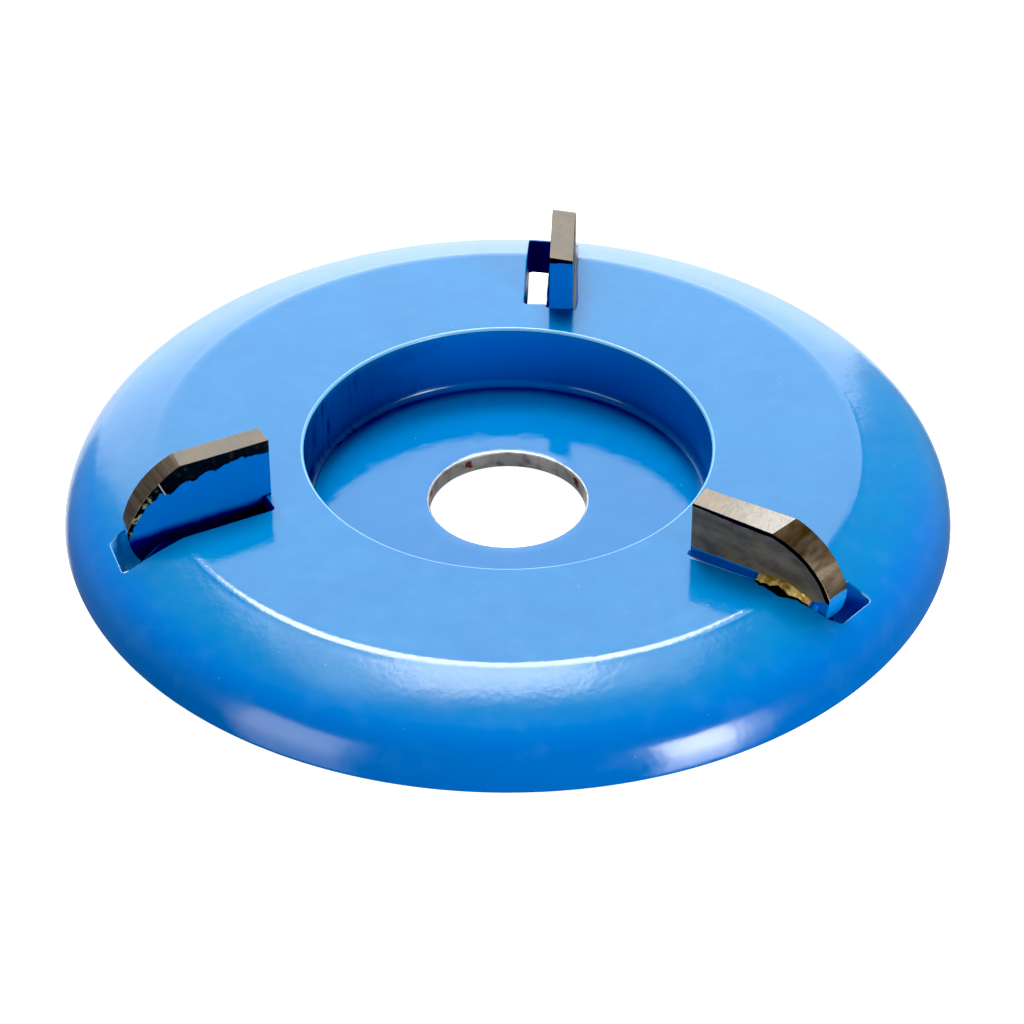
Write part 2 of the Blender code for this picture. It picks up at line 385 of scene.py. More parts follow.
def slot_tool_mesh():
    """The space of one slot. Its walls flare at the top surface into the rounded painted edge."""
    def loop(grow, depth):
        outline = slot_outline(grow)
        return [(x, y, top_height(math.hypot(x, y)) - depth) for x, y in outline]

    loops = [[(x, y, -TOOL_OVERRUN) for x, y in slot_outline(0.0)], loop(0.0, SLOT_EDGE_ROUND)]
    zones = [SLOT_WALL]
    for degrees in SLOT_FLARE_ANGLES:
        turn = math.radians(degrees)
        loops.append(loop(SLOT_EDGE_ROUND * (1 - math.cos(turn)), SLOT_EDGE_ROUND * (1 - math.sin(turn))))
        zones.append(THIN_EDGE)
    loops.append(loop(SLOT_EDGE_ROUND, -TOOL_OVERRUN))
    zones.append(THIN_EDGE)
    return loft_mesh("slot_tool", loops, zones)


def station_turn(index):
    return FIRST_AZIMUTH + index * 2.0 * math.pi / STATION_COUNT


def build_disc(materials):
    points, zones = disc_profile()
    disc = add_piece("painted_disc", turned_mesh("painted_disc", points, zones), materials,
                     "disc_body")
    tools = []
    tool_mesh = slot_tool_mesh()
    for material in materials:
        tool_mesh.materials.append(material)
    for index in range(STATION_COUNT):
        tool = add_object(f"slot_tool_{index}", tool_mesh)
        tool.rotation_euler.z = station_turn(index)
        tools.append(tool)
        cut = disc.modifiers.new(tool.name, "BOOLEAN")
        cut.operation = "DIFFERENCE"
        cut.solver = "EXACT"
        cut.object = tool
    depsgraph = bpy.context.evaluated_depsgraph_get()
    shaped = bpy.data.meshes.new_from_object(disc.evaluated_get(depsgraph))
    disc.modifiers.clear()
    disc.data = shaped
    for tool in tools:
        bpy.data.objects.remove(tool)
    smooth_by_angle(shaped, SHARP_ANGLE)
    keep_flat_normals(disc)
    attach(disc, "root")


# ---- Cutter plates

def plate_outline(edge):
    """Side view of one face of a plate: straight top, large arc, nose, and the plate's flat root."""
    inner_top, arc_top, centre_out, centre_up, radius = edge
    arc_start = math.asin((arc_top - centre_up) / radius)
    nose_rise = NOSE_CENTRE[1] - centre_up
    nose_reach = centre_out + math.sqrt(radius ** 2 - nose_rise ** 2)
    arc_end = math.asin(nose_rise / radius)
    nose_radius = nose_reach - NOSE_CENTRE[0]
    root = NOSE_CENTRE[1] - NOSE_RADIUS
    outline = [(CUTTER_INNER_END, root), (CUTTER_INNER_END, inner_top)]
    outline += arc((centre_out, centre_up), radius, arc_start, arc_end, EDGE_ARC_STEPS)[:-1]
    for step in range(NOSE_STEPS + 1):
        angle = -math.pi / 2 * step / NOSE_STEPS
        outline.append((NOSE_CENTRE[0] + nose_radius * math.cos(angle),
                        NOSE_CENTRE[1] + NOSE_RADIUS * math.sin(angle)))
    return outline


def plate_mesh(index):
    """Zones: 0 is the ground flank with the root, 1 the leading face, 2 the trailing face."""
    leading = plate_outline(LEADING_EDGES[index])
    trailing = plate_outline(TRAILING_EDGES[index])
    solid = bmesh.new()
    front = [solid.verts.new((x, CUTTER_LEADING_FACE, z)) for x, z in leading]
    back = [solid.verts.new((x, CUTTER_TRAILING_FACE, z)) for x, z in trailing]
    for first in range(len(front)):
        second = (first + 1) % len(front)
        solid.faces.new((front[first], front[second], back[second], back[first]))
    solid.faces.new(front).material_index = 1
    solid.faces.new(back).material_index = 2
    mesh = mesh_of(f"cutter_plate_{index + 1}", solid)
    smooth_by_angle(mesh, PLATE_SHARP_ANGLE)
    return mesh


def build_plates(materials):
    for index in range(STATION_COUNT):
        number = index + 1
        plate = add_piece(f"cutter_plate_{number}", plate_mesh(index), materials[index],
                          f"cutter_{number}")
        plate.rotation_euler.z = station_turn(index)
        rounding = plate.modifiers.new("edge_rounds", "BEVEL")
        rounding.width = PLATE_EDGE_ROUND
        rounding.segments = 2
        rounding.limit_method = "ANGLE"
        rounding.angle_limit = ROUNDED_ANGLE
        rounding.use_clamp_overlap = False
        keep_flat_normals(plate)
        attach(plate, "root")


# ---- Braze beads

BEAD_WIDTH = 1.0 * MM
BEAD_HEIGHT = 0.75 * MM
BEAD_GAP = 0.02 * MM
BEAD_SINK = 0.02 * MM
BEAD_ROOT = 0.1 * MM
BEAD_STATIONS = 110
BEAD_ACROSS = 12
BEAD_SIZES = (0.66, 0.66, 1.0)
BEAD_STARTS = (24.45 * MM, 25.3 * MM, 24.45 * MM)
PAINTED_TAPER = 7.5 * MM
PAINTED_HEIGHT = 0.72

# Where along the plate each bead's bare brass starts and ends, and where its flux lump is, in
# millimetres. Two of them would start past their bead's end, so those beads are painted throughout.
BARE_STARTS = (60.0, 60.0, 32.1)
BARE_END = 38.0
FLUX_LUMP = 34.8


def bead_mesh(index):
    """A fillet of filler along the plate's trailing face, hollow and smooth under its paint, and full
    and lumpy where it is bare. The attribute across runs from 0 at the plate to 1 at its outer edge."""
    loops = []
    across = []
    for step in range(BEAD_STATIONS + 1):
        share = step / BEAD_STATIONS
        x = BEAD_STARTS[index] + (BEAD_OUTER_END - BEAD_STARTS[index]) * share
        bare = min(1.0, max(0.0, x / MM - BARE_STARTS[index] + 0.3))
        seed = Vector((x / MM * 0.7, index * 7.3, 2.1))
        swell = 0.07 * noise.noise(seed * 0.6) + bare * 0.16 * noise.noise(seed * 3.0)
        lump = bare * 0.36 * math.exp(-((x / MM - FLUX_LUMP) / 0.7) ** 2)
        narrowing = bare * 0.42 * min(1.0, max(0.0, (x / MM - 35.3) / 1.2))
        narrowing += (1.0 - bare) * 0.40 * min(1.0, (x - BEAD_STARTS[index]) / PAINTED_TAPER)
        taper = min(1.0, 8.0 * share, 6.0 * (1.0 - share)) ** 0.5
        width = BEAD_WIDTH * BEAD_SIZES[index] * (0.95 + swell + lump - narrowing) * (0.45 + 0.55 * taper)
        height = BEAD_HEIGHT * BEAD_SIZES[index] * (1.0 + swell - 0.3 * narrowing) * (0.35 + 0.65 * taper)
        inner = CUTTER_TRAILING_FACE - BEAD_GAP
        loop = [(x, inner, top_height(math.hypot(x, inner)) - BEAD_ROOT)]
        across.append(0.0)
        for part in range(BEAD_ACROSS + 1):
            turn = math.pi / 2 * part / BEAD_ACROSS
            y = inner - width * math.sin(turn)
            grain = noise.noise(Vector((x / MM * 2.6, y / MM * 2.6, index * 3.7)))
            lumpy = math.cos(turn) ** 1.5 * (1.0 + 0.14 * grain)
            hollow = PAINTED_HEIGHT * (1.0 - math.sin(turn)) ** 1.4
            crest = height * (hollow + (lumpy - hollow) * bare)
            floor = top_height(math.hypot(x, y)) if y < SLOT_BACK_WALL else top_height(x)
            loop.append((x, y, floor + crest - BEAD_SINK * (part == BEAD_ACROSS)))
            across.append(part / BEAD_ACROSS)
        loops.append(loop)
    mesh = loft_mesh(f"braze_{index + 1}", loops)
    attribute = mesh.attributes.new("across", "FLOAT", "POINT")
    attribute.data.foreach_set("value", across)
    smooth_by_angle(mesh, BEAD_SHARP_ANGLE)
    return mesh


def build_beads(materials):
    for index in range(STATION_COUNT):
        number = index + 1
        bead = add_piece(f"braze_fillet_{number}", bead_mesh(index), [materials[index]],
                         f"braze_bead_{number}")
        bead.rotation_euler.z = station_turn(index)
        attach(bead, "root")


SEAM_WIDTH = 0.44 * MM
SEAM_LOW = 2.75 * MM
SEAM_HIGH = 6.9 * MM
SEAM_POCKET_OVERLAP = 0.3 * MM
SEAM_NOSE_SHARE = 0.86
SEAM_WAVE = 0.35 * MM
SEAM_END_DROP = 1.6 * MM
SEAM_GAP = 0.01 * MM
SEAM_STATIONS = 60
SEAM_ROUND_STEPS = 5


def seam_mesh(index):
    """Filler and paint that ran down the foot of the leading face and closed the pocket's gap."""
    start = POCKET_INNER_END + 0.03 * MM
    end = NOSE_CENTRE[0] + NOSE_RADIUS * SEAM_NOSE_SHARE
    inner = CUTTER_LEADING_FACE - SEAM_GAP
    loops = []
    for step in range(SEAM_STATIONS + 1):
        share = step / SEAM_STATIONS
        x = start + (end - start) * share
        wave = noise.noise(Vector((x / MM * 0.5, index * 5.1, 7.7)))
        width = SEAM_WIDTH * (1.0 + 0.12 * wave) * min(1.0, 0.25 + 12.0 * (1.0 - share)) ** 0.5
        if x < GULLET_INNER_END + SEAM_POCKET_OVERLAP:
            width = min(width, POCKET_FRONT_WALL - inner - SEAM_GAP)
        high = SEAM_HIGH + SEAM_WAVE * wave - SEAM_END_DROP * max(0.0, 6.0 * share - 5.0)
        low = SEAM_LOW + max(0.0, x - NOSE_CENTRE[0]) * 0.25
        loop = [(x, inner, low), (x, inner + width, low), (x, inner + width, (low + high) / 2)]
        for part in range(SEAM_ROUND_STEPS + 1):
            turn = math.pi / 2 * part / SEAM_ROUND_STEPS
            loop.append((x, inner + width * math.cos(turn), high - 2.0 * width * (1.0 - math.sin(turn))))
        loops.append(loop)
    mesh = loft_mesh(f"braze_seam_{index + 1}", loops)
    smooth_by_angle(mesh, ROUNDED_ANGLE)
    return mesh


def build_seams(material):
    for index in range(STATION_COUNT):
        seam = add_piece(f"braze_seam_{index + 1}", seam_mesh(index), [material])
        seam.rotation_euler.z = station_turn(index)
        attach(seam, "root")


# ---- Material helpers

SOCKETS = {
    "colour": "Base Color", "metallic": "Metallic", "roughness": "Roughness", "normal": "Normal",
    "specular": "Specular IOR Level", "glow_colour": "Emission Color", "glow": "Emission Strength",
}


class Material:
    """One material, with short calls for the nodes used here."""

    def __init__(self, name):
        self.data = bpy.data.materials.new(name)
        self.data.use_nodes = True
        self.tree = self.data.node_tree
        self.shader = self.tree.nodes["Principled BSDF"]

    def feed(self, socket, value):
        if isinstance(value, bpy.types.NodeSocket):
            self.tree.links.new(value, socket)
        elif isinstance(value, tuple) and len(value) == 3 and socket.type == "RGBA":
            socket.default_value = (*value, 1.0)
        else:
            socket.default_value = value

    def add(self, kind, values, **settings):
        node = self.tree.nodes.new("ShaderNode" + kind)
        for key, value in settings.items():
            setattr(node, key, value)
        for key, value in values.items():
            self.feed(node.inputs[key], value)
        return node

    @cached_property
    def place(self):
        """The point being shaded, in the object's own coordinates, in millimetres."""
        position = self.add("TexCoord", {}).outputs["Object"]
        return self.add("VectorMath", {0: position, 3: 1.0 / MM}, operation="SCALE").outputs[0]

    def stretch(self, scales):
        return self.add("VectorMath", {0: self.place, 1: scales}, operation="MULTIPLY").outputs[0]

    def axes(self, vector=None):
        return self.add("SeparateXYZ", {0: self.place if vector is None else vector}).outputs[:3]

    def maths(self, operation, *values):
        return self.add("Math", dict(enumerate(values)), operation=operation).outputs[0]

    times = partialmethod(maths, "MULTIPLY")
    plus = partialmethod(maths, "ADD")
    minus = partialmethod(maths, "SUBTRACT")
    most = partialmethod(maths, "MAXIMUM")
    # The first value times the second, plus the third
    line = partialmethod(maths, "MULTIPLY_ADD")

    def apart(self, first, second):
        return self.maths("ABSOLUTE", self.minus(first, second))

    def noise(self, scale, detail=2.0):
        """Noise with one scale, or with its own scale along each axis."""
        vector = self.place
        if isinstance(scale, tuple):
            vector, scale = self.stretch(scale), 1.0
        return self.add("TexNoise", {"Vector": vector, "Scale": scale, "Detail": detail}).outputs[0]

    def step(self, value, start, end):
        """0 at the start, 1 at the end, smooth between. The start may lie above the end."""
        values = {"Value": value, "From Min": start, "From Max": end}
        return self.add("MapRange", values, interpolation_type="SMOOTHSTEP").outputs[0]

    def patches(self, scale, detail, start, end):
        """Patches of noise: 0 where it is below the start, and 1 where it is above the end."""
        return self.step(self.noise(scale, detail), start, end)

    def radius(self):
        """Distance from the disc's axis, in millimetres."""
        flat = self.stretch((1.0, 1.0, 0.0))
        return self.add("VectorMath", {0: flat}, operation="LENGTH").outputs["Value"]

    def spot(self, centre, reach, ragged):
        """1 round a point, with a ragged border."""
        values = {0: self.place, 1: centre}
        distance = self.add("VectorMath", values, operation="DISTANCE").outputs["Value"]
        border = self.plus(distance, self.times(self.noise(1.6, 4.0), ragged))
        return self.step(border, reach + ragged / 2, reach * 0.6 + ragged / 2)

    def tint(self, share, low, high, strength=1.0):
        """The low colour where the share is 0, and where it is 1 the high one, to a given strength."""
        if strength != 1.0:
            share = self.times(share, strength)
        return self.add("Mix", {0: share, 6: low, 7: high}, data_type="RGBA").outputs[2]

    def mix(self, share, low, high):
        return self.add("Mix", {0: share, 2: low, 3: high}).outputs[0]

    def bump(self, height, distance, normal=None):
        values = {"Height": height, "Distance": distance, "Strength": 1.0}
        if normal is not None:
            values["Normal"] = normal
        return self.add("Bump", values).outputs[0]

    def finish(self, **values):
        for key, value in values.items():
            self.feed(self.shader.inputs[SOCKETS[key]], value)
        return self.data


# Paint on the top, the recess, the rim, the slots, the plates and the filler. The rim, wall, slot and
# face blues are copies of the top's enamel made deeper or paler for the light each place gets, so they
# hold painted shade and painted light.
TOP_BLUE = (0.0004, 0.103, 0.268)
TOP_BLUE_LIGHT = (0.0004, 0.110, 0.280)
RECESS_LIT_BLUE = (0.0004, 0.107, 0.292)
SHADE_NAVY = (0.0003, 0.024, 0.120)
RIM_BLUE = (0.0002, 0.086, 0.318)
WALL_BLUE = (0.0002, 0.080, 0.330)
WALL_SHADE = (0.0002, 0.092, 0.350)
WALL_SHADE_NAVY = (0.0003, 0.042, 0.170)
WALL_BLACK = (0.0003, 0.010, 0.055)
SLOT_BLUE = (0.004, 0.190, 0.620)
SLOT_PAINTED_LIGHT = (0.150, 0.560, 1.000)
SLOT_NAVY = (0.001, 0.060, 0.300)
PALE_BLUE = (0.13, 0.29, 0.46)
FACE_BLUE = (0.0003, 0.084, 0.315)
# FACE_NAVY is painted shade at the slots' inner ends, the leading faces' feet and the seams; it also darkens
# the start of the bead's repainted end.
FACE_NAVY = (0.0003, 0.010, 0.085)
FOOT_REFLECTION_BLUE = (0.010, 0.150, 0.430)
BEAD_SHADE_NAVY = (0.0003, 0.034, 0.170)
SEAM_SHADE_NAVY = (0.0003, 0.020, 0.120)

# Metal, scale, rust and dirt
CHIP_GREY = (0.30, 0.34, 0.40)
BORE_DARK = (0.24, 0.235, 0.225)
BORE_LIGHT = (0.42, 0.41, 0.395)
BORE_STAIN = (0.15, 0.135, 0.115)
RUST_DARK = (0.055, 0.010, 0.006)
RUST_LIGHT = (0.17, 0.040, 0.016)
FLANK_GREY = (0.100, 0.094, 0.084)
FLANK_WARM = (0.118, 0.100, 0.080)
FLANK_HIGHLIGHT_GREY = (0.160, 0.155, 0.147)
ARC_DARK_BROWN = (0.066, 0.046, 0.028)
ARC_BROWN = (0.120, 0.096, 0.070)
ARC_DARK_GREY = (0.080, 0.068, 0.054)
ARC_GREY = (0.120, 0.106, 0.088)
ARC_BURNT = (0.050, 0.028, 0.010)
GRINDING_DARK = (0.030, 0.022, 0.015)
SCALE_BLACK = (0.003, 0.003, 0.003)
SCALE_BROWN = (0.020, 0.015, 0.010)
SCALE_OLIVE = (0.16, 0.17, 0.08)
SCRATCH_GREY = (0.22, 0.20, 0.20)
TRAILING_DARK = (0.064, 0.056, 0.047)
TRAILING_LIGHT = (0.128, 0.111, 0.087)
TRAILING_GRAIN = (0.040, 0.036, 0.033)
TRAILING_OLIVE = (0.085, 0.080, 0.040)
EDGE_BLACK = (0.003, 0.002, 0.002)
BRAZE_TAN = (0.13, 0.105, 0.05)
FILLER_TAN = (0.15, 0.11, 0.05)
BRASS_DARK = (0.20, 0.145, 0.045)
BRASS_LIGHT = (0.46, 0.34, 0.13)
BRASS_FIERY = (0.50, 0.20, 0.02)
BEAD_GREY_BY_PLATE = (0.085, 0.085, 0.080)

ENAMEL_SPECULAR = 0.35
REAR_PLATE_MIDDLE = (cutter_low.x + cutter_high.x) / 2.0 / MM
TOP_ROUGHNESS = 0.095
RIM_ROUGHNESS = 0.155


def enamel_colour(mat):
    """Enamel's colour, with a few pale specks. It is painted deeper low at the front as shade, paler on the
    recess floor as painted light, and dark in the recess's corner and before the rear plate as painted
    shadow and reflection. Returns it and the specks."""
    tone = mat.patches(0.16, 3.0, 0.35, 0.65)
    colour = mat.tint(tone, TOP_BLUE, TOP_BLUE_LIGHT)
    side, back, up = mat.axes()
    radius = mat.radius()
    # Painted shade: the rim's low front, which the key light misses, is painted a deeper blue.
    painted_shade_low_front = mat.times(mat.step(up, 8.2, 5.8), mat.step(back, 8.0, -14.0))
    colour = mat.tint(painted_shade_low_front, colour, RIM_BLUE)
    # Painted light: the recess floor takes a paler copy of the blue, for the weaker light it gets.
    recess = mat.step(radius, 20.65, 20.55)
    colour = mat.tint(recess, colour, RECESS_LIT_BLUE)
    # Painted shadow and reflection: a navy band on the recess floor along its wall, strongest at the rear.
    corner = mat.times(mat.step(radius, 18.3, 19.9), recess)
    corner = mat.times(corner, mat.mix(mat.step(back, 0.0, 12.0), 0.15, 0.85))
    colour = mat.tint(corner, colour, SHADE_NAVY)
    # Painted shadow and reflection: a navy patch on the top just before the rear plate.
    beside = mat.apart(side, REAR_PLATE_MIDDLE)
    painted_shadow_before_plate = mat.times(mat.step(beside, 1.45, 1.15), mat.step(back, 19.5, 23.5))
    painted_shadow_before_plate = mat.times(painted_shadow_before_plate, mat.step(back, 26.0, 25.0))
    colour = mat.tint(painted_shadow_before_plate, colour, SHADE_NAVY, 0.75)
    bloom = mat.patches(0.45, 5.0, 0.45, 0.80)
    colour = mat.tint(bloom, colour, PALE_BLUE, 0.04)
    cells = mat.add("TexVoronoi", {"Vector": mat.place, "Scale": 0.9})
    near = mat.step(cells.outputs["Distance"], 0.11, 0.05)
    chosen = mat.step(mat.axes(cells.outputs["Color"])[0], 0.90, 0.92)
    speck = mat.times(near, chosen)
    return mat.tint(speck, colour, PALE_BLUE, 0.2), speck


def enamel_normal(mat, speck):
    """Orange peel in three sizes, rougher on the upper bevel, and raised specks."""
    peel = mat.bump(mat.noise(0.6, 1.0), 0.016 * MM)
    radius = mat.radius()
    rough_band = mat.times(mat.step(radius, 34.6, 35.6), mat.step(radius, 40.0, 38.0))
    grain_relief = mat.mix(rough_band, 0.007 * MM, 0.014 * MM)
    grain = mat.bump(mat.noise(1.7, 2.0), grain_relief, peel)
    fine_relief = mat.mix(rough_band, 0.002 * MM, 0.005 * MM)
    fine = mat.bump(mat.noise(4.2, 2.0), fine_relief, grain)
    return mat.bump(speck, 0.008 * MM, fine)


def enamel_material():
    mat = Material("gloss_blue_enamel")
    colour, speck = enamel_colour(mat)
    haze = mat.patches(0.5, 4.0, 0.3, 0.75)
    outside = mat.step(mat.radius(), 35.0, 37.5)
    smooth = mat.mix(outside, TOP_ROUGHNESS, RIM_ROUGHNESS)
    roughness = mat.plus(smooth, mat.times(haze, 0.05))
    return mat.finish(colour=colour, roughness=roughness, specular=ENAMEL_SPECULAR,
                      normal=enamel_normal(mat, speck))


def edge_enamel_material():
    """Enamel that has pulled thin over an edge. It is palest round the recess and at the slots' outer ends,
    partly thin paint and partly a painted highlight, painted navy as shade at their inner ends, and
    elsewhere it is chipped here and there."""
    mat = Material("thin_edge_enamel")
    colour, speck = enamel_colour(mat)
    radius = mat.radius()
    # Partly thin paint and partly a painted highlight: the recess's edge and the slots' outer ends are paled.
    ends = mat.most(mat.step(radius, 22.0, 21.5), mat.step(radius, 40.3, 40.8))
    thin = mat.patches(1.1, 3.0, 0.48, 0.66)
    thin = mat.most(mat.times(ends, 0.8), mat.times(thin, 0.4))
    colour = mat.tint(thin, colour, PALE_BLUE)
    # Painted shade: the edges at the slots' inner ends are navy.
    pocket = mat.times(mat.step(radius, 22.5, 23.5), mat.step(radius, 27.5, 26.0))
    colour = mat.tint(pocket, colour, FACE_NAVY)
    chip = mat.times(mat.patches(2.3, 4.0, 0.63, 0.66), mat.step(radius, 23.0, 24.0))
    colour = mat.tint(chip, colour, CHIP_GREY)
    return mat.finish(
        colour=colour,
        metallic=mat.times(chip, 0.5),
        roughness=mat.mix(chip, 0.18, 0.4),
        specular=ENAMEL_SPECULAR,
        normal=mat.bump(chip, -0.015 * MM, enamel_normal(mat, speck)),
    )


def slot_wall_material():
    """Sprayed enamel inside the slots, mottled by the spray: painted palest in the left one as painted light,
    and dark in the rear one and at every inner end as painted shade."""
    mat = Material("slot_wall_enamel")
    side, back, _ = mat.axes()
    # Painted light: the left slot's walls are paler.
    colour = mat.tint(mat.step(side, -5.0, -25.0), SLOT_BLUE, SLOT_PAINTED_LIGHT)
    # Painted shade: the rear slot's walls are navy.
    colour = mat.tint(mat.step(back, 8.0, 22.0), colour, SLOT_NAVY)
    spray = mat.noise(1.3, 4.0)
    colour = mat.tint(spray, colour, SLOT_NAVY, 0.5)
    # Painted shade: navy at the slots' inner ends.
    colour = mat.tint(mat.step(mat.radius(), 28.0, 26.5), colour, FACE_NAVY)
    return mat.finish(colour=colour, roughness=mat.mix(spray, 0.3, 0.5),
                      specular=ENAMEL_SPECULAR, normal=mat.bump(spray, 0.02 * MM))


def recess_wall_material():
    """Enamel on the recess's wall: deep blue at the rear, painted as shaded at the right, and painted almost
    navy at the left as shade, with dark streaks where it ran. Its foot is painted darker in the corner as
    shade, and its top paler as painted light."""
    mat = Material("recess_wall_enamel")
    side, depth, up = mat.axes()
    cloud = mat.noise(0.45, 3.0)
    # Painted shade: the wall's right side gets its own blue.
    colour = mat.tint(mat.step(side, 4.0, 16.0), WALL_BLUE, WALL_SHADE)
    # Painted shade: the wall's left side is painted almost navy.
    left = mat.step(mat.plus(side, mat.times(cloud, 5.0)), -3.0, -14.0)
    colour = mat.tint(left, colour, WALL_SHADE_NAVY)
    streaks = mat.noise((1.1, 1.1, 0.12), 4.0)
    streaked = mat.times(mat.step(streaks, 0.52, 0.62), mat.step(side, -13.5, -18.0))
    colour = mat.tint(streaked, colour, WALL_BLACK, 0.85)
    # Painted shade: the wall darkens at its foot, in the corner.
    foot = mat.step(mat.plus(up, cloud), 4.1, 2.5)
    foot = mat.times(foot, mat.mix(mat.step(depth, 19.3, 16.0), 0.10, 0.35))
    colour = mat.tint(foot, colour, WALL_BLACK)
    # Painted light: the wall pales towards its top edge.
    painted_light_top = mat.step(up, 7.9, 8.8)
    colour = mat.tint(painted_light_top, colour, TOP_BLUE, 0.5)
    peel = mat.bump(mat.noise(1.7, 2.0), 0.005 * MM)
    return mat.finish(
        colour=colour,
        roughness=mat.mix(cloud, 0.12, 0.22),
        specular=ENAMEL_SPECULAR,
        normal=mat.bump(streaks, 0.01 * MM, peel),
    )


# Centre, reach and raggedness of each spot on the arbor hole's wall, in millimetres
RUST_SPOTS = (
    ((-4.3, 6.75, 1.1), 0.5, 1.2),
    ((6.9, 4.1, 1.2), 0.6, 1.2),
    ((-7.9, 1.4, 1.4), 0.35, 1.0),
)


def bare_steel_material():
    """The arbor hole's wall: turned steel, cleaned of paint, with a few spots of rust."""
    mat = Material("turned_bare_steel")
    lines = mat.noise((0.12, 0.12, 9.0), 3.0)
    cloud = mat.noise(0.9, 4.0)
    steel = mat.tint(lines, BORE_DARK, BORE_LIGHT)
    steel = mat.tint(mat.step(cloud, 0.45, 0.75), steel, BORE_STAIN)
    first, *others = [mat.spot(*spot) for spot in RUST_SPOTS]
    rust = first
    for other in others:
        rust = mat.most(rust, other)
    grain = mat.noise(6.0, 3.0)
    rust_colour = mat.tint(grain, RUST_DARK, RUST_LIGHT)
    return mat.finish(
        colour=mat.tint(rust, steel, rust_colour),
        metallic=mat.mix(rust, 0.45, 0.0),
        roughness=mat.mix(rust, mat.mix(lines, 0.38, 0.5), 0.85),
        normal=mat.bump(grain, 0.008 * MM, mat.bump(lines, 0.004 * MM)),
    )


def edge_distance(mat, edge):
    """Distance in millimetres from a point of a plate's face in to the face's ground edge."""
    inner_top, arc_top, centre_out, centre_up, radius = (value / MM for value in edge)
    along, _, up = mat.axes()
    arc_start = centre_out + math.sqrt(radius ** 2 - (arc_top - centre_up) ** 2)
    slope = (arc_top - inner_top) / (arc_start - CUTTER_INNER_END / MM)
    top = mat.line(along, slope, inner_top - slope * CUTTER_INNER_END / MM)
    below_top = mat.minus(top, up)
    out = mat.most(mat.minus(along, centre_out), 0.0)
    rise = mat.minus(up, centre_up)
    squares = mat.plus(mat.times(out, out), mat.times(rise, rise))
    inside_arc = mat.minus(radius, mat.maths("SQRT", squares))
    return mat.maths("MINIMUM", below_top, inside_arc)


# How bright each plate's ground flank is along its straight top, set plate by plate for the light it gets,
# so painted light and shade; how much painted highlight it gets there towards the arc; how bright its arc
# is, also set for its light; and how brown the heat of grinding left the arc
FLANK_LIGHT_GAIN = (0.80, 0.60, 0.42)
FLANK_HIGHLIGHT = (0.0, 0.0, 0.8)
ARC_LIGHT_GAIN = (0.9, 1.15, 1.15)
ARC_HEAT = (0.2, 0.25, 0.85)


def flank_material(index):
    """The ground flank: cross-grinding marks, heat tints round the arc, a painted highlight towards the arc,
    paint at the foot made paler as a painted reflection, and the painted inner end with its strip of black
    scale."""
    mat = Material(f"ground_flank_{index + 1}")
    along, _, up = mat.axes()
    gain, arc_gain = FLANK_LIGHT_GAIN[index], ARC_LIGHT_GAIN[index]

    def shade(level, colour):
        return tuple(level * part for part in colour)

    normal_up = mat.axes(mat.add("TexCoord", {}).outputs["Normal"])[2]
    on_arc = mat.step(normal_up, 0.975, 0.955)
    lines = mat.noise((6.0, 0.22, 6.0), 4.0)
    bands = mat.noise((1.3, 0.05, 1.3), 1.0)
    stain = mat.noise(0.55, 4.0)
    pale = mat.tint(mat.step(stain, 0.35, 0.65), shade(gain, FLANK_GREY), shade(gain, FLANK_WARM))
    # Painted highlight: the straight top pales towards the arc.
    glow = mat.times(mat.step(along, 26.0, 34.0), FLANK_HIGHLIGHT[index])
    pale = mat.tint(glow, pale, shade(gain, FLANK_HIGHLIGHT_GREY))
    banded = mat.step(bands, 0.30, 0.70)
    brown = mat.tint(banded, shade(arc_gain, ARC_DARK_BROWN), shade(arc_gain, ARC_BROWN))
    grey = mat.tint(banded, shade(arc_gain, ARC_DARK_GREY), shade(arc_gain, ARC_GREY))
    steel = mat.tint(on_arc, pale, mat.tint(ARC_HEAT[index], grey, brown))
    burn = mat.times(mat.step(mat.line(bands, 1.2, along), 37.6, 35.6), on_arc)
    steel = mat.tint(burn, steel, ARC_BURNT, 0.7 * ARC_HEAT[index])
    dark_line = mat.times(mat.step(lines, 0.45, 0.72), mat.mix(on_arc, 0.20, 0.45))
    steel = mat.tint(dark_line, steel, GRINDING_DARK)
    level = mat.line(mat.noise(1.2, 3.0), 0.5, up)
    foot = mat.step(level, FOOT_PAINT_LEVEL + 0.30, FOOT_PAINT_LEVEL + 0.18)
    inner_end = mat.step(along, CUTTER_INNER_END / MM + 0.05, CUTTER_INNER_END / MM + 0.02)
    wavy = mat.line(mat.noise(1.0, 2.0), 0.3, up)
    scale = mat.step(wavy, CUTTER_TOP / MM - 0.72, CUTTER_TOP / MM - 0.60)
    end_colour = mat.tint(scale, FACE_BLUE, SCALE_BLACK)
    painted = mat.most(foot, inner_end)
    # Painted reflection: the foot's paint is paler than the faces' paint.
    colour = mat.tint(inner_end, FOOT_REFLECTION_BLUE, end_colour)
    return mat.finish(
        colour=mat.tint(painted, steel, colour),
        metallic=mat.mix(painted, 1.0, 0.0),
        roughness=mat.mix(painted, mat.mix(lines, 0.30, 0.44), 0.24),
        normal=mat.bump(lines, mat.mix(painted, 0.007 * MM, 0.0)),
    )


# A scratch across the black scale: how far it leans outward per unit of height, and from where
SCRATCH_SLANT = 0.42
SCRATCH_START = 30.45


